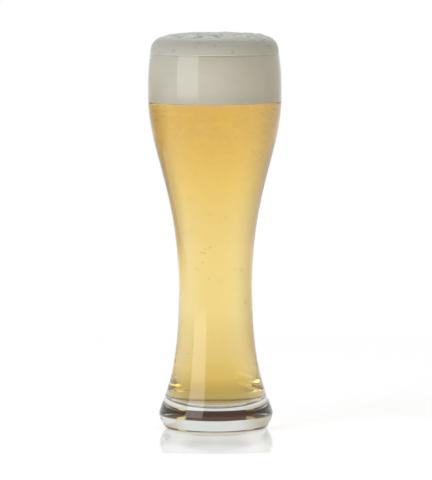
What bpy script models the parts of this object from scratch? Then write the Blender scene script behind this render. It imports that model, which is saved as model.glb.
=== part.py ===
"""Hourglass beer glass, freshly poured: the glass, the beer in it and the foam head on the beer."""

from math import cos, pi, radians, sin

import bpy
from mathutils import Vector
from mathutils.geometry import interpolate_bezier

# Outside of the glass, in metres, with z = 0 on the table
HEIGHT = 0.240
RIM_RADIUS = 0.0410
BOWL_RADIUS = 0.0426
BOWL_DROP = 0.026
WAIST_RADIUS = 0.02335
WAIST_HEIGHT = 0.088
BASE_RADIUS = 0.0362
BASE_HEIGHT = 0.0097
FOOT_RADIUS = 0.0308
FOOT_RING_WIDTH = 0.006
PUNT_DEPTH = 0.0012

# Glass left round the drink: the wall at three heights, and the solid base
RIM_WALL = 0.0018
BOWL_WALL = 0.0026
WAIST_WALL = 0.0028
FLOOR_THICKNESS = 0.0112
HEEL_RADIUS = 0.0282
HEEL_RISE = 0.012
HEEL_ROUNDING = 0.024

# Drink: how far its surface is below the rim, and how far the foam stands above the rim
BEER_DROP = 0.031
CROWN_RISE = 0.0119

# Room between the glass, the beer and the foam
CLEARANCE = 0.0003

# Fullness of each curve: the length of a handle as a share of the rise that the curve spans
RIM_LEAN = 0.144
RIM_PULL = 0.40
BOWL_PULL_UP = 0.40
BOWL_PULL_DOWN = 0.305
WAIST_PULL_UP = 0.517
WAIST_PULL_DOWN = 0.751
BASE_PULL_UP = 0.088
BASE_PULL_DOWN = 0.25
FOOT_PULL = 0.43
HEEL_PULL_UP = 0.12
HEEL_PULL_DOWN = 0.60
FLOOR_PULL = 0.55
PUNT_PULL = 0.50
CROWN_PULL_UP = 1.0
CROWN_PULL_OUT = 0.72

# Where the crown lets go of the lip, as an angle up from the outside of the lip's round
CROWN_EDGE = radians(45)

# Fineness of the turned shapes
TURN_STEPS = 44
LONG_CURVE_POINTS = 13
SHORT_CURVE_POINTS = 6
LIP_POINTS = 6

OBJECT_NAME = "pilsner_glass"
UP = Vector((0, 1))
OUT = Vector((1, 0))

LIP_RADIUS = RIM_WALL / 2
LIP_HEIGHT = HEIGHT - LIP_RADIUS
BOWL_HEIGHT = HEIGHT - BOWL_DROP
HEEL_HEIGHT = FLOOR_THICKNESS + HEEL_RISE
BEER_LEVEL = HEIGHT - BEER_DROP


def curve(start, start_handle, end, end_handle, count):
    """Points (radius, height) along one Bezier stretch; the handles are given from their ends."""
    return interpolate_bezier(start, start + start_handle, end + end_handle, end, count)


def joined(*stretches):
    """One line of points from stretches that each start where the last one ends."""
    points = list(stretches[0])
    for stretch in stretches[1:]:
        points += stretch[1:]
    return points


def upper_wall(rim, bowl, waist):
    """A face of the wall from the rim down past the bowl to the waist."""
    mouth = rim.y - bowl.y
    body = bowl.y - waist.y
    lean = Vector((RIM_LEAN, -1)) * RIM_PULL * mouth
    return joined(
        curve(rim, lean, bowl, UP * BOWL_PULL_UP * mouth, SHORT_CURVE_POINTS),
        curve(bowl, -UP * BOWL_PULL_DOWN * body, waist, UP * WAIST_PULL_UP * body, LONG_CURVE_POINTS),
    )


def outer_face():
    """The outside of the glass, from the lip down to the middle of the hollow under the base."""
    rim = Vector((RIM_RADIUS, LIP_HEIGHT))
    bowl = Vector((BOWL_RADIUS, BOWL_HEIGHT))
    waist = Vector((WAIST_RADIUS, WAIST_HEIGHT))
    base = Vector((BASE_RADIUS, BASE_HEIGHT))
    foot = Vector((FOOT_RADIUS, 0))
    ring = foot - OUT * FOOT_RING_WIDTH
    punt = Vector((0, PUNT_DEPTH))
    flare = waist.y - base.y
    tuck = OUT * FOOT_PULL * (base.x - foot.x)
    spread = OUT * PUNT_PULL * ring.x
    return joined(
        upper_wall(rim, bowl, waist),
        curve(waist, -UP * WAIST_PULL_DOWN * flare, base, UP * BASE_PULL_UP * flare, LONG_CURVE_POINTS),
        curve(base, -UP * BASE_PULL_DOWN * base.y, foot, tuck, SHORT_CURVE_POINTS),
        [foot, ring],
        curve(ring, Vector((0, 0)), punt, spread, SHORT_CURVE_POINTS),
    )


def inner_face():
    """The inside of the glass, from the middle of its floor up to the lip."""
    rim = Vector((RIM_RADIUS - RIM_WALL, LIP_HEIGHT))
    bowl = Vector((BOWL_RADIUS - BOWL_WALL, BOWL_HEIGHT))
    waist = Vector((WAIST_RADIUS - WAIST_WALL, WAIST_HEIGHT))
    heel = Vector((HEEL_RADIUS, HEEL_HEIGHT))
    floor_edge = Vector((HEEL_RADIUS - HEEL_ROUNDING, FLOOR_THICKNESS))
    floor_middle = Vector((0, FLOOR_THICKNESS))
    flare = waist.y - heel.y
    round_in = OUT * FLOOR_PULL * HEEL_ROUNDING
    down = joined(
        upper_wall(rim, bowl, waist),
        curve(waist, -UP * WAIST_PULL_DOWN * flare, heel, UP * HEEL_PULL_UP * flare, LONG_CURVE_POINTS),
        curve(heel, -UP * HEEL_PULL_DOWN * HEEL_RISE, floor_edge, round_in, SHORT_CURVE_POINTS),
        [floor_edge, floor_middle],
    )
    return down[::-1]


def lip(radius, end_angle):
    """The round of the lip, from its inner side over the top; a larger radius runs outside it."""
    middle = Vector((RIM_RADIUS - LIP_RADIUS, LIP_HEIGHT))
    step = (pi - end_angle) / (LIP_POINTS - 1)
    angles = [pi - step * i for i in range(LIP_POINTS)]
    return [middle + radius * Vector((cos(a), sin(a))) for a in angles]


def cavity():
    """The inner face moved in by the clearance, from the axis up to the lip: the drink's own side."""
    face = inner_face()
    moved = [Vector((0, FLOOR_THICKNESS + CLEARANCE))]
    for before, point, after in zip(face, face[1:], face[2:]):
        along = (after - before).normalized()
        moved.append(point + CLEARANCE * Vector((-along.y, along.x)))
    moved.append(face[-1] - CLEARANCE * OUT)
    return moved


def between(line, low, high):
    """The stretch of a rising line between two heights, with its ends on those heights."""
    kept = []
    for lower, upper in zip(line, line[1:]):
        rise = upper.y - lower.y
        if lower.y < low < upper.y:
            kept.append(lower.lerp(upper, (low - lower.y) / rise))
        if low <= upper.y <= high:
            kept.append(upper)
        if lower.y < high < upper.y:
            kept.append(lower.lerp(upper, (high - lower.y) / rise))
    return kept


def glass_profile():
    return joined(inner_face(), lip(LIP_RADIUS, 0), outer_face())


def beer_profile():
    """From the middle of the beer's surface out to the wall, then down the wall to the floor."""
    side = between(cavity(), FLOOR_THICKNESS, BEER_LEVEL)
    return [Vector((0, BEER_LEVEL))] + side[::-1] + [Vector((0, FLOOR_THICKNESS + CLEARANCE))]


def foam_profile():
    """From the top of the crown out and down to the lip, over it, and down the wall to the beer."""
    over_lip = lip(LIP_RADIUS + CLEARANCE, CROWN_EDGE)
    edge = over_lip[-1]
    top = Vector((0, HEIGHT + CROWN_RISE))
    rise = UP * CROWN_PULL_UP * (top.y - edge.y)
    crown = curve(top, OUT * CROWN_PULL_OUT * edge.x, edge, rise, LONG_CURVE_POINTS)
    bottom = BEER_LEVEL + CLEARANCE
    side = between(cavity(), bottom, LIP_HEIGHT)
    return joined(crown, over_lip[::-1], side[::-1]) + [Vector((0, bottom))]


def plain_material(name, colour, roughness, transmission, ior):
    material = bpy.data.materials.new(name)
    material.use_nodes = True
    shader = material.node_tree.nodes["Principled BSDF"]
    shader.inputs["Base Color"].default_value = (*colour, 1)
    shader.inputs["Roughness"].default_value = roughness
    shader.inputs["Metallic"].default_value = 0
    shader.inputs["Transmission Weight"].default_value = transmission
    shader.inputs["IOR"].default_value = ior
    return material


def turned(name, profile, material, collection):
    """A solid turned about the Z axis from a profile that starts and ends on the axis."""
    mesh = bpy.data.meshes.new(name)
    edges = [(i, i + 1) for i in range(len(profile) - 1)]
    mesh.from_pydata([(p.x, 0, p.y) for p in profile], edges, [])
    mesh.materials.append(material)
    piece = bpy.data.objects.new(name, mesh)
    collection.objects.link(piece)
    screw = piece.modifiers.new("Turn", "SCREW")
    screw.axis = "Z"
    screw.angle = 2 * pi
    screw.steps = TURN_STEPS
    screw.render_steps = TURN_STEPS
    screw.use_merge_vertices = True
    screw.merge_threshold = 0.00001
    screw.use_smooth_shade = True
    return piece


def main():
    for old in list(bpy.data.objects):
        bpy.data.objects.remove(old)
    parts = bpy.data.collections.new(OBJECT_NAME)
    bpy.context.scene.collection.children.link(parts)

    clear_glass = plain_material("clear_glass", (0.96, 0.98, 0.97), 0.02, 1, 1.5)
    pale_beer = plain_material("pale_beer", (0.87, 0.62, 0.16), 0.03, 1, 1.345)
    white_foam = plain_material("white_foam", (0.86, 0.83, 0.75), 0.75, 0, 1.33)

    turned("glass", glass_profile(), clear_glass, parts)
    turned("beer", beer_profile(), pale_beer, parts)
    turned("foam_head", foam_profile(), white_foam, parts)


main()
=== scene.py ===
"""Freshly poured pale beer in an hourglass glass: the looks of the glass, the beer and the foam head."""

from math import cos, pi, radians, sin, sqrt, tan
from random import Random

import bmesh
import bpy
import numpy as np
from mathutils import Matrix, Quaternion, Vector, noise
from mathutils.geometry import interpolate_bezier


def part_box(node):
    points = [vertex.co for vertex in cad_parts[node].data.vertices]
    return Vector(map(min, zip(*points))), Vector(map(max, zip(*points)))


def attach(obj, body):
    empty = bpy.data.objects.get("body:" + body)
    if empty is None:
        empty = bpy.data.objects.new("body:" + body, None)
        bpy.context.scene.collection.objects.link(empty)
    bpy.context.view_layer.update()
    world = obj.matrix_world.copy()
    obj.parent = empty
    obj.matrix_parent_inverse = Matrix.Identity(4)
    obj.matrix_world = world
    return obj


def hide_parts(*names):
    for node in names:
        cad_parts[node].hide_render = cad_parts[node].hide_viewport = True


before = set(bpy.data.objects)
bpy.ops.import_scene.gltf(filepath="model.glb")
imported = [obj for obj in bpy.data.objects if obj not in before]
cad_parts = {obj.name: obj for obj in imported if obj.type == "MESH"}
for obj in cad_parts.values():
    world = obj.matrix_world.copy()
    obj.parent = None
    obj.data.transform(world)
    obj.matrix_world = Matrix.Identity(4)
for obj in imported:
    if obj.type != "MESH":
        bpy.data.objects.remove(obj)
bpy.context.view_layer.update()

# Outside of the glass, in metres, as the solids have it
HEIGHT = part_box("glass")[1].z
BOWL_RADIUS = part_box("glass")[1].x
RIM_RADIUS = 0.0410
BOWL_DROP = 0.026
WAIST_RADIUS = 0.02335
WAIST_HEIGHT = 0.088
BASE_RADIUS = 0.0362
BASE_HEIGHT = 0.0097
FOOT_RADIUS = 0.0308
FOOT_RING_WIDTH = 0.006
PUNT_DEPTH = 0.0012

# Glass left round the drink: the wall at three heights, and the solid base
RIM_WALL = 0.0018
BOWL_WALL = 0.0026
WAIST_WALL = 0.0028
FLOOR_THICKNESS = 0.0112
HEEL_RADIUS = 0.0282
HEEL_RISE = 0.012
HEEL_ROUNDING = 0.024

# Drink: how far its surface is below the rim, and how far the foam stands above the rim
BEER_DROP = 0.031
CROWN_RISE = 0.0119

# How far beer and foam run into the glass that they wet, and how the foam's fringe dips into the beer
WETTING = 0.00005
FOAM_WETTING = 0.00008
FRINGE_SIZE = 0.004
FRINGE_DEPTH = 0.0004

# Fullness of each curve: the length of a handle as a share of the rise that the curve spans
RIM_LEAN = 0.144
RIM_PULL = 0.40
BOWL_PULL_UP = 0.40
BOWL_PULL_DOWN = 0.305
WAIST_PULL_UP = 0.517
WAIST_PULL_DOWN = 0.751
BASE_PULL_UP = 0.088
BASE_PULL_DOWN = 0.25
FOOT_PULL = 0.43
HEEL_PULL_UP = 0.12
HEEL_PULL_DOWN = 0.60
FLOOR_PULL = 0.55
PUNT_PULL = 0.50
CROWN_PULL_UP = 1.0
CROWN_PULL_OUT = 0.76

# Where the crown lets go of the lip, as an angle up from the outside of the lip's round
CROWN_EDGE = radians(42)

# Fineness of the turned shapes
TURN_STEPS = 192
FOAM_STEPS = 480
LONG_CURVE_POINTS = 48
SHORT_CURVE_POINTS = 24
LIP_POINTS = 11
CROWN_POINTS = 120

UP = Vector((0, 1))
OUT = Vector((1, 0))
LIP_RADIUS = RIM_WALL / 2
LIP_HEIGHT = HEIGHT - LIP_RADIUS
BOWL_HEIGHT = HEIGHT - BOWL_DROP
HEEL_HEIGHT = FLOOR_THICKNESS + HEEL_RISE
BEER_LEVEL = HEIGHT - BEER_DROP


def curve(start, start_handle, end, end_handle, count):
    """Points (radius, height) along one Bezier stretch; the handles are given from their ends."""
    return interpolate_bezier(start, start + start_handle, end + end_handle, end, count)


def joined(*stretches):
    """One line of points from stretches that each start where the last one ends."""
    points = list(stretches[0])
    for stretch in stretches[1:]:
        points += stretch[1:]
    return points


def upper_wall(rim, bowl, waist):
    """A face of the wall from the rim down past the bowl to the waist."""
    mouth = rim.y - bowl.y
    body = bowl.y - waist.y
    lean = Vector((RIM_LEAN, -1)) * RIM_PULL * mouth
    return joined(
        curve(rim, lean, bowl, UP * BOWL_PULL_UP * mouth, SHORT_CURVE_POINTS),
        curve(bowl, -UP * BOWL_PULL_DOWN * body, waist, UP * WAIST_PULL_UP * body, LONG_CURVE_POINTS),
    )


def outer_face():
    """The outside of the glass, from the lip down to the middle of the hollow under the base."""
    rim = Vector((RIM_RADIUS, LIP_HEIGHT))
    bowl = Vector((BOWL_RADIUS, BOWL_HEIGHT))
    waist = Vector((WAIST_RADIUS, WAIST_HEIGHT))
    base = Vector((BASE_RADIUS, BASE_HEIGHT))
    foot = Vector((FOOT_RADIUS, 0))
    ring = foot - OUT * FOOT_RING_WIDTH
    punt = Vector((0, PUNT_DEPTH))
    flare = waist.y - base.y
    tuck = OUT * FOOT_PULL * (base.x - foot.x)
    spread = OUT * PUNT_PULL * ring.x
    return joined(
        upper_wall(rim, bowl, waist),
        curve(waist, -UP * WAIST_PULL_DOWN * flare, base, UP * BASE_PULL_UP * flare, LONG_CURVE_POINTS),
        curve(base, -UP * BASE_PULL_DOWN * base.y, foot, tuck, SHORT_CURVE_POINTS),
        [foot, ring],
        curve(ring, Vector((0, 0)), punt, spread, SHORT_CURVE_POINTS),
    )


def inner_face():
    """The inside of the glass, from the middle of its floor up to the lip."""
    rim = Vector((RIM_RADIUS - RIM_WALL, LIP_HEIGHT))
    bowl = Vector((BOWL_RADIUS - BOWL_WALL, BOWL_HEIGHT))
    waist = Vector((WAIST_RADIUS - WAIST_WALL, WAIST_HEIGHT))
    heel = Vector((HEEL_RADIUS, HEEL_HEIGHT))
    floor_edge = Vector((HEEL_RADIUS - HEEL_ROUNDING, FLOOR_THICKNESS))
    floor_middle = Vector((0, FLOOR_THICKNESS))
    flare = waist.y - heel.y
    round_in = OUT * FLOOR_PULL * HEEL_ROUNDING
    down = joined(
        upper_wall(rim, bowl, waist),
        curve(waist, -UP * WAIST_PULL_DOWN * flare, heel, UP * HEEL_PULL_UP * flare, LONG_CURVE_POINTS),
        curve(heel, -UP * HEEL_PULL_DOWN * HEEL_RISE, floor_edge, round_in, SHORT_CURVE_POINTS),
        [floor_edge, floor_middle],
    )
    return down[::-1]


def lip(radius, end_angle):
    """The round of the lip, from its inner side over the top; a smaller radius runs inside it."""
    middle = Vector((RIM_RADIUS - LIP_RADIUS, LIP_HEIGHT))
    step = (pi - end_angle) / (LIP_POINTS - 1)
    angles = [pi - step * i for i in range(LIP_POINTS)]
    return [middle + radius * Vector((cos(a), sin(a))) for a in angles]


def drink_side(inset):
    """The inner face moved in by a distance, or out where it is negative, from the axis up to the lip."""
    face = inner_face()
    moved = [face[0] + inset * UP]
    for before, point, after in zip(face, face[1:], face[2:]):
        along = (after - before).normalized()
        moved.append(point + inset * Vector((-along.y, along.x)))
    moved.append(face[-1] - inset * OUT)
    return moved


def between(line, low, high):
    """The stretch of a rising line between two heights, with its ends on those heights."""
    kept = []
    for lower, upper in zip(line, line[1:]):
        rise = upper.y - lower.y
        if lower.y < low < upper.y:
            kept.append(lower.lerp(upper, (low - lower.y) / rise))
        if low <= upper.y <= high:
            kept.append(upper)
        if lower.y < high < upper.y:
            kept.append(lower.lerp(upper, (high - lower.y) / rise))
    return kept


def glass_profile():
    """Up the inside, over the lip and down the outside; and how many of its stretches the beer wets."""
    face = inner_face()
    wet = [face[0]] + between(face, FLOOR_THICKNESS, BEER_LEVEL)
    dry = between(face, BEER_LEVEL, LIP_HEIGHT)
    return joined(wet, dry, lip(LIP_RADIUS, 0), outer_face()), len(wet) - 1


def beer_profile():
    """From the middle of the beer's surface out to the wall, then down the wall to the floor."""
    side = drink_side(-WETTING)
    wall = between(side, side[0].y, BEER_LEVEL)
    return [Vector((0, BEER_LEVEL))] + wall[::-1] + [side[0]]


def foam_profile():
    """From the top of the crown out and down to the lip, over it, and down the wall into the beer."""
    over_lip = lip(LIP_RADIUS - FOAM_WETTING, CROWN_EDGE)
    edge = over_lip[-1]
    top = Vector((0, HEIGHT + CROWN_RISE))
    rise = UP * CROWN_PULL_UP * (top.y - edge.y)
    crown = curve(top, OUT * CROWN_PULL_OUT * edge.x, edge, rise, CROWN_POINTS)
    bottom = BEER_LEVEL - WETTING
    side = between(drink_side(-FOAM_WETTING), bottom, LIP_HEIGHT)
    return joined(crown, over_lip[::-1], side[::-1]) + [Vector((0, bottom))]


def turned(profile, steps):
    """Points and faces of a solid turned about the Z axis, with a ring of faces for each stretch."""
    turns = [2 * pi * i / steps for i in range(steps)]
    points = [(0, 0, profile[0].y)]
    for p in profile[1:-1]:
        points += [(p.x * cos(a), p.x * sin(a), p.y) for a in turns]
    points.append((0, 0, profile[-1].y))
    last = len(points) - 1
    rings = len(profile) - 2
    pairs = [(i, (i + 1) % steps) for i in range(steps)]
    faces = [(0, 1 + i, 1 + j) for i, j in pairs]
    for ring in range(rings - 1):
        upper = 1 + ring * steps
        lower = upper + steps
        faces += [(upper + i, lower + i, lower + j, upper + j) for i, j in pairs]
    faces += [(last - steps + i, last, last - steps + j) for i, j in pairs]
    return points, faces


def new_piece(name, points, faces, material):
    """A smooth mesh object in the scene."""
    mesh = bpy.data.meshes.new(name)
    mesh.from_pydata(points, [], faces)
    mesh.materials.append(material)
    mesh.shade_smooth()
    piece = bpy.data.objects.new(name, mesh)
    bpy.context.scene.collection.objects.link(piece)
    return piece


# Places of the factor, the two colours and their mix among a Mix node's sockets, which share names
MIX_INPUTS = (0, 6, 7)
MIX_OUTPUT = 2


def feed(tree, socket, value):
    """Links an input to an output, or sets it to a number, a vector or a colour without alpha."""
    if hasattr(value, "is_linked"):
        tree.links.new(value, socket)
    elif socket.type == "RGBA":
        socket.default_value = (*value, 1)
    else:
        socket.default_value = value


def set_inputs(tree, node, inputs):
    """Feeds inputs of a node by their names."""
    for name, value in inputs.items():
        feed(tree, node.inputs[name], value)


def new_node(tree, kind, inputs=None):
    """A new shader node of a kind, with the inputs that are given by name."""
    node = tree.nodes.new("ShaderNode" + kind)
    set_inputs(tree, node, inputs or {})
    return node


def maths(tree, operation, *values, clamp=False):
    """The output of a Math node on numbers or sockets."""
    node = new_node(tree, "Math")
    node.operation = operation
    node.use_clamp = clamp
    for socket, value in zip(node.inputs, values):
        feed(tree, socket, value)
    return node.outputs[0]


def vector_maths(tree, operation, *values):
    """A Vector Math node on vectors or sockets."""
    node = new_node(tree, "VectorMath")
    node.operation = operation
    for socket, value in zip(node.inputs, values):
        feed(tree, socket, value)
    return node


def mixed(tree, share, first, second):
    """The colour first where share is 0 and second where it is 1."""
    node = new_node(tree, "Mix")
    node.data_type = "RGBA"
    for place, value in zip(MIX_INPUTS, (share, first, second)):
        feed(tree, node.inputs[place], value)
    return node.outputs[MIX_OUTPUT]


def number_between(tree, share, first, second):
    """The number first where share is 0 and second where it is 1."""
    return maths(tree, "MULTIPLY_ADD", share, second - first, first)


def blended(tree, share, first, second):
    """The shader first where share is 0 and second where it is 1."""
    node = new_node(tree, "MixShader")
    for socket, output in zip(node.inputs, (share, first.outputs[0], second.outputs[0])):
        tree.links.new(output, socket)
    return node


def ramp(tree, value, start, end):
    """0 up to where the value reaches start, then smoothly on to 1 at end, which may be the lower one."""
    node = new_node(tree, "MapRange", {"Value": value, "From Min": start, "From Max": end})
    node.interpolation_type = "SMOOTHSTEP"
    return node.outputs[0]


def named(tree, attribute):
    """The value of a named attribute of the mesh."""
    node = new_node(tree, "Attribute")
    node.attribute_name = attribute
    return node.outputs["Fac"]


def here(tree):
    """The place on the object that is shaded."""
    return new_node(tree, "TexCoord").outputs["Object"]


def parts(tree, vector):
    """The x, y and z of a vector."""
    return new_node(tree, "SeparateXYZ", {"Vector": vector}).outputs


def texture(tree, kind, size):
    """A texture whose pattern has this size on the object."""
    return new_node(tree, "Tex" + kind, {"Vector": here(tree), "Scale": 1 / size})


def principled(name):
    """A new material, its nodes and its shader."""
    material = bpy.data.materials.new(name)
    material.use_nodes = True
    tree = material.node_tree
    return material, tree, tree.nodes["Principled BSDF"]


def staged_material(name):
    """A new material without a shader, its nodes, and the input for its surface."""
    material, tree, shader = principled(name)
    tree.nodes.remove(shader)
    return material, tree, tree.nodes["Material Output"].inputs["Surface"]


# Clear materials: how they bend light, and the tint that it takes on and how fast, for each metre
GLASS_IOR = 1.5
GLASS_TINT = (0.45, 0.52, 0.42)
GLASS_DENSITY = 9
BEER_IOR = 1.345
BEER_TINT = (0.937, 0.749, 0.020)
BEER_DENSITY = 35.5

# Glass and beer hardly mirror where they touch
WET = "wet"
WET_GLEAM = (0.05, 0.05, 0.05)

# Waves of the glass
WAVE_LENGTH = 0.018
WAVE_HEIGHT = 0.00005


def clear(name, ior, tint, density):
    """A clear material, its nodes and its shader; faces that are marked as wet gleam less."""
    material, tree, shader = principled(name)
    set_inputs(tree, shader, {
        "Base Color": (1, 1, 1),
        "Roughness": 0,
        "Transmission Weight": 1,
        "IOR": ior,
        "Specular Tint": mixed(tree, named(tree, WET), (1, 1, 1), WET_GLEAM),
    })
    absorption = new_node(tree, "VolumeAbsorption", {"Color": tint, "Density": density})
    tree.links.new(absorption.outputs[0], tree.nodes["Material Output"].inputs["Volume"])
    return material, tree, shader


def mark_wet(piece, counts):
    """Marks runs of faces: dry and wet by turns, as many as the counts say, and the rest dry."""
    marks = []
    for turn, count in enumerate(counts):
        marks += [float(turn % 2)] * count
    marks += [0.0] * (len(piece.data.polygons) - len(marks))
    piece.data.attributes.new(WET, "FLOAT", "FACE").data.foreach_set("value", marks)


def glass_material():
    """Clear glass with faint, long waves in the normals that it bends light by."""
    material, tree, shader = clear("clear_glass", GLASS_IOR, GLASS_TINT, GLASS_DENSITY)
    waves = texture(tree, "Noise", WAVE_LENGTH)
    waves.inputs["Detail"].default_value = 0
    bump = new_node(tree, "Bump", {"Height": waves.outputs["Fac"], "Distance": WAVE_HEIGHT})
    tree.links.new(bump.outputs[0], shader.inputs["Normal"])
    return material


def make_glass():
    profile, wet_stretches = glass_profile()
    points, faces = turned(profile, TURN_STEPS)
    piece = new_piece("glass_blown", points, faces, glass_material())
    mark_wet(piece, (0, wet_stretches * TURN_STEPS))
    return piece


# Bubbles in the beer: some all over, on the wall and rising, and a haze of fine ones under the foam
BUBBLE_SEED = 5
RISING_BUBBLES = 260
RISING_RADIUS = (0.00012, 0.00036)
RISING_SPAN = (0.035, 0.195)
RISING_FINENESS = 2
ON_WALL = 0.6
HAZE_BUBBLES = 4200
HAZE_RADIUS = (0.00008, 0.00020)
HAZE_DEPTH = 0.014
HAZE_LOWEST = 0.14
HAZE_INWARD = 0.002
HAZE_FINENESS = 1

# Room left between a bubble and the wall, and between where bubbles rise and the axis
BUBBLE_ROOM = 0.00015
AXIS_ROOM = 0.002

# Bubbles too fine to tell apart, which cloud the beer under the foam
CLOUD = 0.14
CLOUD_SPAN = (BEER_LEVEL - 0.055, BEER_LEVEL - 0.010)
CLOUD_PATCH = 0.004


def ball(subdivisions):
    """Points and faces of a ball of radius 1 with its faces turned in, as a bubble's are."""
    shape = bmesh.new()
    bmesh.ops.create_icosphere(shape, subdivisions=subdivisions, radius=1)
    points = [vertex.co.copy() for vertex in shape.verts]
    faces = [[vertex.index for vertex in reversed(face.verts)] for face in shape.faces]
    shape.free()
    return points, faces


def add_bubble(points, faces, centre, radius, shape):
    start = len(points)
    points += [centre + radius * point for point in shape[0]]
    faces += [[start + index for index in face] for face in shape[1]]


def at_height(line, height):
    """The radius of a rising line at a height."""
    for lower, upper in zip(line, line[1:]):
        if lower.y <= height <= upper.y and lower.y < upper.y:
            return lower.lerp(upper, (height - lower.y) / (upper.y - lower.y)).x
    return line[-1].x


def add_bubbles(points, faces):
    draw = Random(BUBBLE_SEED)
    wall = drink_side(0)
    rising_ball = ball(RISING_FINENESS)
    haze_ball = ball(HAZE_FINENESS)

    def place(height, radius, inward, shape):
        turn = draw.uniform(0, 2 * pi)
        reach = at_height(wall, height) - radius - BUBBLE_ROOM - inward
        add_bubble(points, faces, Vector((reach * cos(turn), reach * sin(turn), height)), radius, shape)

    for _ in range(RISING_BUBBLES):
        height = draw.uniform(*RISING_SPAN)
        radius = draw.uniform(*RISING_RADIUS)
        loose = draw.random() > ON_WALL
        inward = loose * (1 - sqrt(draw.random())) * at_height(wall, height)
        place(height, radius, min(inward, at_height(wall, height) - AXIS_ROOM), rising_ball)
    for _ in range(HAZE_BUBBLES):
        radius = draw.uniform(*HAZE_RADIUS)
        height = BEER_LEVEL - FRINGE_DEPTH - radius - draw.expovariate(1 / HAZE_DEPTH)
        place(max(height, HAZE_LOWEST + radius), radius, draw.expovariate(1 / HAZE_INWARD), haze_ball)


def beer_material():
    """Clear pale beer; fine bubbles cloud it under the foam."""
    material, tree, shader = clear("pale_beer", BEER_IOR, BEER_TINT, BEER_DENSITY)
    high = ramp(tree, parts(tree, here(tree))["Z"], *CLOUD_SPAN)
    cloud = maths(tree, "MULTIPLY", high, texture(tree, "Noise", CLOUD_PATCH).outputs["Fac"])
    tree.links.new(number_between(tree, cloud, 1, 1 - CLOUD), shader.inputs["Transmission Weight"])
    return material


def make_beer():
    points, faces = turned(beer_profile(), TURN_STEPS)
    wet_faces = len(faces) - TURN_STEPS
    add_bubbles(points, faces)
    piece = new_piece("beer_fill", points, faces, beer_material())
    mark_wet(piece, (TURN_STEPS, wet_faces))
    return piece


# Foam colours behind the glass: low down, lighter as painted light from below; high up; and where it
# meets the beer or the lip, lighter still as painted light
FOAM_LOW_PAINTED_LIGHT = (0.955, 0.930, 0.878)
FOAM_HIGH = (0.895, 0.870, 0.818)
FOAM_EDGE_PAINTED_LIGHT = (0.965, 0.960, 0.921)

# Foam colours in the open, greyer than behind the glass as painted shade: near the brim, lighter as
# painted light; on the crown's shoulder, darkest as painted shade; on top, lighter and bluer as painted
# light; on crests, a painted highlight; in creases, painted shade; and in pits
FOAM_BRIM_PAINTED_LIGHT = (0.61, 0.605, 0.575)
FOAM_CROWN_PAINTED_SHADE = (0.50, 0.50, 0.495)
FOAM_TOP_PAINTED_LIGHT = (0.71, 0.72, 0.77)
FOAM_CREST_HIGHLIGHT = (0.90, 0.92, 0.96)
FOAM_CREASE_SHADE = (0.36, 0.365, 0.37)
FOAM_PIT = (0.44, 0.41, 0.31)

# Heights at which one foam colour begins to give way to the next, and has given way
TOP_EDGE = (HEIGHT + 0.0085, HEIGHT + 0.0112)
BRIM_EDGE = (HEIGHT + 0.008, HEIGHT + 0.0005)
LIP_EDGE = (HEIGHT + 0.0006, HEIGHT - 0.0004)
LOW_EDGE = (BEER_LEVEL + 0.002, BEER_LEVEL)

# Froth: the size of its cells and blotches, how they show, and its soft sheen
CELL_SIZE = 0.0009
CELL_EDGE = (0.2, 0.7)
CELL_SHADE = 0.05
CELL_DEPTH = CELL_SIZE / 4
CELL_BUMP = 0.35
MOTTLE_SIZE = 0.016
MOTTLE_EDGE = (0.35, 0.65)
MOTTLE_SHADE = 0.05
FOAM_ROUGHNESS = 0.8
FOAM_SPECULAR = 0.1
FOAM_SHEEN = 1.0
SHEEN_ROUGHNESS = 0.5
SHEEN_TINT = (0.90, 0.95, 1)

# Attributes of the foam's points: in the open, in a pit, and from -1 in a crease to 1 on a crest
OPEN = "open"
PIT = "pit"
CREST = "crest"
CREASE_DEPTH = 0.0008
CREST_RISE = 0.0009
# crest value from which creases darken as painted shade
CREASE_SHADE_START = -0.3

# Billows on the crown, as widths and heights, how they bend, and the radii where they begin and are full
BILLOWS = ((0.0080, 0.0020), (0.0046, 0.0014), (0.0021, 0.00050))
BILLOW_WARP = 0.35
BILLOW_MIDDLE = 0.25
BILLOW_SEED = 8
WRINKLED = (0.036, 0.027)
SMOOTH_PART = 0.12
LIP_FADE = 0.004

# Pits of burst bubbles; their depth is a share of their radius
PIT_SEED = 3
PITS = 70
PIT_RADIUS = (0.0005, 0.0013)
PIT_DEPTH = 0.5


def crown_painted_light_and_shade(tree, height):
    """The open foam with painted light and shade: lighter on top, on crests and at the lip, darker in
    creases.
    """
    crest = named(tree, CREST)
    # painted shade on the crown's shoulder, painted light on its top
    colour = mixed(tree, ramp(tree, height, *TOP_EDGE), FOAM_CROWN_PAINTED_SHADE, FOAM_TOP_PAINTED_LIGHT)
    # painted light near the brim
    colour = mixed(tree, ramp(tree, height, *BRIM_EDGE), colour, FOAM_BRIM_PAINTED_LIGHT)
    # painted highlight on crests
    colour = mixed(tree, ramp(tree, crest, 0, 1), colour, FOAM_CREST_HIGHLIGHT)
    # painted shade in creases
    colour = mixed(tree, ramp(tree, crest, CREASE_SHADE_START, -1), colour, FOAM_CREASE_SHADE)
    # painted light where the foam meets the lip
    return mixed(tree, ramp(tree, height, *LIP_EDGE), colour, FOAM_EDGE_PAINTED_LIGHT)


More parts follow.
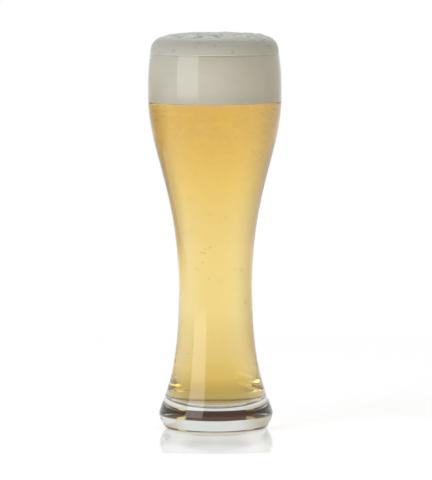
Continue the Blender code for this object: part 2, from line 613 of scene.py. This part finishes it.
def foam_colour_and_painted_light(tree, cells):
    """Creamy behind the glass, lighter low down and at its edges as painted light, and greyer on the
    crown as painted shade, with beer left in pits and between cells.
    """
    height = parts(tree, here(tree))["Z"]
    # painted light from below: lighter low down behind the glass
    colour = mixed(tree, ramp(tree, height, BEER_LEVEL, HEIGHT), FOAM_LOW_PAINTED_LIGHT, FOAM_HIGH)
    # painted light where the foam meets the beer
    colour = mixed(tree, ramp(tree, height, *LOW_EDGE), colour, FOAM_EDGE_PAINTED_LIGHT)
    # painted light and shade on the open crown
    colour = mixed(tree, named(tree, OPEN), colour, crown_painted_light_and_shade(tree, height))
    colour = mixed(tree, named(tree, PIT), colour, FOAM_PIT)
    shade = maths(tree, "MULTIPLY", ramp(tree, cells, *CELL_EDGE), CELL_SHADE)
    mottle = texture(tree, "Noise", MOTTLE_SIZE).outputs["Fac"]
    patch = maths(tree, "MULTIPLY", ramp(tree, mottle, *MOTTLE_EDGE), MOTTLE_SHADE)
    return mixed(tree, maths(tree, "ADD", shade, patch), colour, FOAM_PIT)


def foam_material():
    """Warm white froth of fine cells."""
    material, tree, shader = principled("white_foam")
    cells = texture(tree, "Voronoi", CELL_SIZE).outputs["Distance"]
    bump = new_node(tree, "Bump", {"Height": cells, "Distance": CELL_DEPTH, "Strength": CELL_BUMP})
    bump.invert = True
    set_inputs(tree, shader, {
        "Base Color": foam_colour_and_painted_light(tree, cells),
        "Normal": bump.outputs[0],
        "Roughness": FOAM_ROUGHNESS,
        "Specular IOR Level": FOAM_SPECULAR,
        "Sheen Weight": FOAM_SHEEN,
        "Sheen Roughness": SHEEN_ROUGHNESS,
        "Sheen Tint": SHEEN_TINT,
    })
    return material


def relief(point):
    """How far the crown stands out at a point: rounded billows that meet in creases."""
    height = 0
    for width, rise in BILLOWS:
        place = point / width
        place += BILLOW_WARP * noise.noise_vector(place)
        nearest = noise.voronoi(place)[0][0]
        height += rise * (BILLOW_MIDDLE - nearest ** 2)
    return height


def pits(crown):
    """How far into a pit each point of the crown is, from 0 to 1, and how deep it lies there."""
    draw = Random(PIT_SEED)
    places = np.array(crown)
    share = np.zeros(len(crown))
    depth = np.zeros(len(crown))
    for _ in range(PITS):
        middle = places[draw.randrange(len(crown))]
        radius = draw.uniform(*PIT_RADIUS)
        near = np.exp(-((places - middle) ** 2).sum(axis=1) / radius ** 2)
        share = np.maximum(share, near)
        depth = np.maximum(depth, near * radius * PIT_DEPTH)
    return share, depth


def wrinkled(point):
    """The share of the billows that shows: little near the rim, all of it in the middle."""
    edge, full = WRINKLED
    share = min(max((edge - point.xy.length) / (edge - full), 0), 1)
    return SMOOTH_PART + (1 - SMOOTH_PART) * share


def shape_foam(mesh):
    """Billows and pits above the lip, and a ragged lower edge that dips into the beer."""
    noise.seed_set(BILLOW_SEED)
    crown = [vertex for vertex in mesh.vertices if vertex.co.z > HEIGHT]
    share, depth = pits([vertex.co for vertex in crown])
    in_pit = np.zeros(len(mesh.vertices))
    on_crest = np.zeros(len(mesh.vertices))
    moved = []
    for vertex, pit_share, pit_depth in zip(crown, share, depth):
        height = wrinkled(vertex.co) * relief(vertex.co)
        free = min((vertex.co.z - HEIGHT) / LIP_FADE, 1)
        moved.append(vertex.co + vertex.normal * free * (height - pit_depth))
        in_pit[vertex.index] = pit_share
        on_crest[vertex.index] = height
    for vertex, place in zip(crown, moved):
        vertex.co = place
    for vertex in mesh.vertices:
        if vertex.co.z < BEER_LEVEL:
            vertex.co.z -= FRINGE_DEPTH * abs(noise.noise(vertex.co / FRINGE_SIZE))
    crests = np.clip(on_crest / np.where(on_crest > 0, CREST_RISE, CREASE_DEPTH), -1, 1)
    in_open = np.arange(len(mesh.vertices)) < CROWN_POINTS * FOAM_STEPS
    for name, values in ((PIT, in_pit), (CREST, crests), (OPEN, in_open.astype(float))):
        mesh.attributes.new(name, "FLOAT", "POINT").data.foreach_set("value", values)


def make_foam():
    points, faces = turned(foam_profile(), FOAM_STEPS)
    piece = new_piece("foam_crown", points, faces, foam_material())
    shape_foam(piece.data)
    return piece


# Limits on a ray's whole number of bounces: scattered at all, mirrored more than once, through the drink
SCATTERINGS = 0.5
GLINT_MIRRORINGS = 1.5
DRINK_CROSSINGS = 3.5

# What glass and beer show of the studio: a white backdrop that is dim and warm to both sides of the glass
BACKDROP_WHITE = (1, 1, 1)
BACKDROP_LEFT = (0.62, 0.54, 0.385)
LEFT_SPAN = (-sin(radians(12)), -sin(radians(50)))
BACKDROP_RIGHT = (0.69, 0.57, 0.34)
RIGHT_SPAN = (sin(radians(20)), sin(radians(48)))
RIGHT_RISE = (sin(radians(-8)), sin(radians(4)))
BEHIND = 0.35
LEAST_DEPTH = 0.6

# What it is above the backdrop, for the solid base and for the drink
ABOVE_BASE = (0.11, 0.052, 0.034)
BASE_EDGE = (tan(radians(5.5)), tan(radians(6.4)))
ABOVE_DRINK = (0.40, 0.36, 0.30)
DRINK_EDGE = (tan(radians(15)), tan(radians(30)))

# Two small warm reflectors beside the backdrop, the left one fainter, that the base shows as streaks
STREAK = (1, 0.80, 0.30)
STREAK_ASIDE = ((sin(radians(22)), sin(radians(25))), (sin(radians(34)), sin(radians(31))))
STREAK_HEIGHT = ((tan(radians(4.5)), tan(radians(5.5))), (tan(radians(11.5)), tan(radians(10))))
STREAK_FAINT = 0.45
STREAK_SIDES = (-0.1, 0.1)

# What its outside mirrors: the backdrop, white above the table, and the room in front, above a white wall
WHITE_RISE = (sin(radians(-2)), sin(radians(3)))
ROOM = (0.30, 0.30, 0.30)
ROOM_FRONT = (0.10, -0.25)
ROOM_RISE = (sin(radians(10)), sin(radians(16)))

# Soft light on the object: from all round, from the camera's side, from behind and from above
LIGHT_ALL_ROUND = 0.20
LIGHT_FRONT = 0.68
LIGHT_BEHIND = 0.80
LIGHT_ABOVE = 0.05
LIGHT_TINT = (1, 0.95, 0.78)


def unscattered(tree, path, *kinds):
    """1 for rays of these kinds on the way from the camera, and 0 for light that a surface scatters."""
    total = 0
    for kind in kinds:
        total = maths(tree, "ADD", path.outputs["Is " + kind + " Ray"], total, clamp=True)
    direct = maths(tree, "LESS_THAN", path.outputs["Diffuse Depth"], SCATTERINGS)
    return maths(tree, "MULTIPLY", total, direct)


def through_drink(tree, path):
    """1 for rays that cross the drink, and 0 for those that cross only glass."""
    return maths(tree, "GREATER_THAN", path.outputs["Transmission Depth"], DRINK_CROSSINGS)


def backdrop(tree, x, y, z):
    """The backdrop's colour along a direction."""
    behind = ramp(tree, y, 0, BEHIND)
    left = maths(tree, "MULTIPLY", ramp(tree, x, *LEFT_SPAN), behind)
    right = maths(tree, "MULTIPLY", ramp(tree, x, *RIGHT_SPAN), behind)
    right = maths(tree, "MULTIPLY", right, ramp(tree, z, *RIGHT_RISE))
    colour = mixed(tree, left, BACKDROP_WHITE, BACKDROP_LEFT)
    return mixed(tree, right, colour, BACKDROP_RIGHT)


def streaks(tree, x, height):
    """How much of a reflector lies along a direction, given its sideways part and its slope."""
    share = number_between(tree, ramp(tree, x, *STREAK_SIDES), STREAK_FAINT, 1)
    aside = maths(tree, "ABSOLUTE", x)
    for value, edges in ((aside, STREAK_ASIDE), (height, STREAK_HEIGHT)):
        for edge in edges:
            share = maths(tree, "MULTIPLY", share, ramp(tree, value, *edge))
    return share


def seen_through(tree, path, colour, x, y, z):
    """The studio along a direction, as the base and the drink show it."""
    height = maths(tree, "DIVIDE", z, maths(tree, "MAXIMUM", y, LEAST_DEPTH))
    by_base = mixed(tree, ramp(tree, height, *BASE_EDGE), colour, ABOVE_BASE)
    by_base = mixed(tree, streaks(tree, x, height), by_base, STREAK)
    by_drink = mixed(tree, ramp(tree, height, *DRINK_EDGE), colour, ABOVE_DRINK)
    return mixed(tree, through_drink(tree, path), by_base, by_drink)


def seen_mirrored(tree, colour, y, z):
    """The studio along a direction, as the outside of the glass mirrors it."""
    around = mixed(tree, ramp(tree, z, *WHITE_RISE), colour, BACKDROP_WHITE)
    in_room = maths(tree, "MULTIPLY", ramp(tree, y, *ROOM_FRONT), ramp(tree, z, *ROOM_RISE))
    return mixed(tree, in_room, around, ROOM)


def soft_light(tree, y, z):
    """The plain light that falls on the object along a direction."""
    level = LIGHT_ALL_ROUND
    for part, sign, share in ((y, -1, LIGHT_FRONT), (y, 1, LIGHT_BEHIND), (z, 1, LIGHT_ABOVE)):
        facing = maths(tree, "MULTIPLY", part, sign, clamp=True)
        level = maths(tree, "MULTIPLY_ADD", facing, share, level)
    return mixed(tree, level, (0, 0, 0), LIGHT_TINT)


def make_world():
    """White to the camera; glass shows the studio, and all surfaces get its soft light."""
    world = bpy.data.worlds.new("studio")
    bpy.context.scene.world = world
    world.use_nodes = True
    tree = world.node_tree
    path = new_node(tree, "LightPath")
    x, y, z = parts(tree, new_node(tree, "TexCoord").outputs["Generated"])
    colour = backdrop(tree, x, y, z)
    mirror = seen_mirrored(tree, colour, y, z)
    through = seen_through(tree, path, colour, x, y, z)
    seen = mixed(tree, path.outputs["Is Transmission Ray"], mirror, through)
    seen = mixed(tree, path.outputs["Is Camera Ray"], seen, BACKDROP_WHITE)
    looked_at = unscattered(tree, path, "Camera", "Glossy", "Transmission")
    shown = mixed(tree, looked_at, soft_light(tree, y, z), seen)
    set_inputs(tree, tree.nodes["Background"], {"Color": shown, "Strength": 1})


# Softbox to the left of the camera; its foot, a little below the table, fades where it is mirrored
SOFTBOX_BEARING = radians(48)
SOFTBOX_DISTANCE = 1.72
SOFTBOX_WIDTH = 1.24
SOFTBOX_HEIGHT = 2.30
SOFTBOX_FOOT = -0.10
SOFTBOX_FADE = (-0.05, 0.14)
SOFTBOX_GLARE = 3.2
SOFTBOX_FAINT = 1
SOFTBOX_SPILL = 2.0


def softbox_material():
    """Light on the object and a glare where it is mirrored; glass shows it through only as glints."""
    material, tree, output = staged_material("softbox")
    path = new_node(tree, "LightPath")
    full = ramp(tree, parts(tree, here(tree))["Z"], *SOFTBOX_FADE)
    glare = number_between(tree, full, SOFTBOX_FAINT, SOFTBOX_GLARE)
    more = maths(tree, "SUBTRACT", glare, SOFTBOX_SPILL)
    strength = maths(tree, "MULTIPLY_ADD", unscattered(tree, path, "Glossy"), more, SOFTBOX_SPILL)
    glow = new_node(tree, "Emission", {"Strength": strength})
    straight = maths(tree, "LESS_THAN", path.outputs["Glossy Depth"], GLINT_MIRRORINGS)
    hidden = maths(tree, "MULTIPLY", unscattered(tree, path, "Transmission"), straight)
    panel = blended(tree, hidden, glow, new_node(tree, "BsdfTransparent"))
    tree.links.new(panel.outputs[0], output)
    return material


def make_softbox():
    outward = Vector((-sin(SOFTBOX_BEARING), -cos(SOFTBOX_BEARING), 0))
    sideways = Vector((-outward.y, outward.x, 0)) * SOFTBOX_WIDTH / 2
    foot = outward * SOFTBOX_DISTANCE + Vector((0, 0, SOFTBOX_FOOT))
    top = Vector((0, 0, SOFTBOX_HEIGHT))
    corners = [foot - sideways, foot + sideways, foot + sideways + top, foot - sideways + top]
    softbox = new_piece("softbox", corners, [(0, 1, 2, 3)], softbox_material())
    softbox.visible_camera = False


FLOOR_RADIUS = 0.6
FLOOR_STEPS = 96

# Matt white, and the glow that makes it white to the eye
FLOOR_COLOUR = (0.80, 0.80, 0.79)
FLOOR_LIFT = (0.51, 0.53, 0.61)

# Polish, the distances from the axis between which it ends, and how it is fainter before that
FLOOR_IOR = 1.5
FLOOR_ROUGHNESS = 0.10
FLOOR_GLOSS = (0.150, 0.138)
FLOOR_FAINTER = 0.62
FLOOR_FAINTER_SPAN = (0.07, 0.12)

# Painted shadow on the floor as the drink shows it, as shares of the backdrop: some way off and close to
# the foot
FLOOR_FAR_SHADOW = 0.88
FLOOR_FAR_SHADOW_SPAN = (0.70, 0.15)
FLOOR_NEAR_SHADOW = 0.70
FLOOR_NEAR_SHADOW_SPAN = (0.14, 0.03)

# Height in the glass that the floor is looked at from, which gives each place on it a direction
GLANCE_HEIGHT = 0.08


def floor_white(tree, path):
    """The matt floor, lifted to white for the eye and for what mirrors it."""
    matt = new_node(tree, "BsdfDiffuse", {"Color": FLOOR_COLOUR})
    by_eye = unscattered(tree, path, "Camera", "Glossy")
    glow = new_node(tree, "Emission", {"Color": FLOOR_LIFT, "Strength": by_eye})
    white = new_node(tree, "AddShader")
    for socket, shader in zip(white.inputs, (matt, glow)):
        tree.links.new(shader.outputs[0], socket)
    return white


def floor_polish(tree, away):
    """How much the floor mirrors, by the distance from the axis."""
    fresnel = new_node(tree, "Fresnel", {"IOR": FLOOR_IOR})
    polish = maths(tree, "MULTIPLY", fresnel.outputs[0], ramp(tree, away, *FLOOR_GLOSS))
    fainter = number_between(tree, ramp(tree, away, *FLOOR_FAINTER_SPAN), 1, FLOOR_FAINTER)
    return maths(tree, "MULTIPLY", polish, fainter)


def floor_through_glass(tree, path, away):
    """The floor as glass shows it: the backdrop's colour, with a painted shadow round the foot for rays
    that cross the drink.
    """
    down = vector_maths(tree, "SUBTRACT", here(tree), (0, 0, GLANCE_HEIGHT)).outputs["Vector"]
    direction = vector_maths(tree, "NORMALIZE", down).outputs["Vector"]
    far = number_between(tree, ramp(tree, away, *FLOOR_FAR_SHADOW_SPAN), 1, FLOOR_FAR_SHADOW)
    near = number_between(tree, ramp(tree, away, *FLOOR_NEAR_SHADOW_SPAN), 1, FLOOR_NEAR_SHADOW)
    # painted shadow round the foot, only for rays that cross the drink
    painted_shadow = maths(tree, "SUBTRACT", maths(tree, "MULTIPLY", far, near), 1)
    strength = maths(tree, "MULTIPLY_ADD", painted_shadow, through_drink(tree, path), 1)
    colour = backdrop(tree, *parts(tree, direction))
    return new_node(tree, "Emission", {"Color": colour, "Strength": strength})


def floor_material():
    """White and, round the foot of the glass, polished; glass shows it as part of the backdrop, with a
    painted shadow round the foot.
    """
    material, tree, output = staged_material("floor")
    path = new_node(tree, "LightPath")
    away = vector_maths(tree, "LENGTH", here(tree)).outputs["Value"]
    gloss = new_node(tree, "BsdfGlossy", {"Color": (1, 1, 1), "Roughness": FLOOR_ROUGHNESS})
    polished = blended(tree, floor_polish(tree, away), floor_white(tree, path), gloss)
    through = unscattered(tree, path, "Transmission")
    floor = blended(tree, through, polished, floor_through_glass(tree, path, away))
    tree.links.new(floor.outputs[0], output)
    return material


def make_floor():
    turns = [2 * pi * i / FLOOR_STEPS for i in range(FLOOR_STEPS)]
    rim = [(FLOOR_RADIUS * cos(a), FLOOR_RADIUS * sin(a), 0) for a in turns]
    floor = new_piece("floor", rim, [range(FLOOR_STEPS)], floor_material())


# Camera: a long lens a little above the table; the frame's height is its longer side, in pixels
CAMERA_DISTANCE = 4.2
CAMERA_ELEVATION = radians(6.4)
CAMERA_TARGET = Vector((0.00045, 0, 0.1203))
CAMERA_ROLL = radians(-0.23)
PIXELS_PER_METRE = 1571.2
FRAME_HEIGHT = 480
SENSOR = 36
CAMERA_REACH = 100


def make_camera():
    data = bpy.data.cameras.new("camera")
    camera = bpy.data.objects.new("camera", data)
    bpy.context.scene.collection.objects.link(camera)
    camera.location = CAMERA_DISTANCE * Vector((0, -cos(CAMERA_ELEVATION), sin(CAMERA_ELEVATION)))
    sight = CAMERA_TARGET - camera.location
    camera.rotation_mode = "QUATERNION"
    camera.rotation_quaternion = sight.to_track_quat("-Z", "Y") @ Quaternion((0, 0, 1), CAMERA_ROLL)
    data.sensor_width = SENSOR
    data.lens = SENSOR * PIXELS_PER_METRE * sight.length / FRAME_HEIGHT
    data.clip_end = CAMERA_REACH
    bpy.context.scene.camera = camera


# Most bounces of a ray, enough to get through bubbles, beer and glass
MOST_BOUNCES = 24
MOST_MIRRORINGS = 12


def main():
    scene = bpy.context.scene
    scene.view_settings.view_transform = "Standard"
    scene.cycles.max_bounces = MOST_BOUNCES
    scene.cycles.transmission_bounces = MOST_BOUNCES
    scene.cycles.glossy_bounces = MOST_MIRRORINGS
    # the foam's light comes through the glass, which stays sharp for it
    scene.cycles.blur_glossy = 0
    make_camera()
    make_world()
    make_softbox()
    make_floor()
    for piece, node, slot in (
        (make_glass(), "glass", "clear_glass"),
        (make_beer(), "beer", "pale_beer"),
        (make_foam(), "foam_head", "white_foam"),
    ):
        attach(piece, "root")
        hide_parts(node)


main()
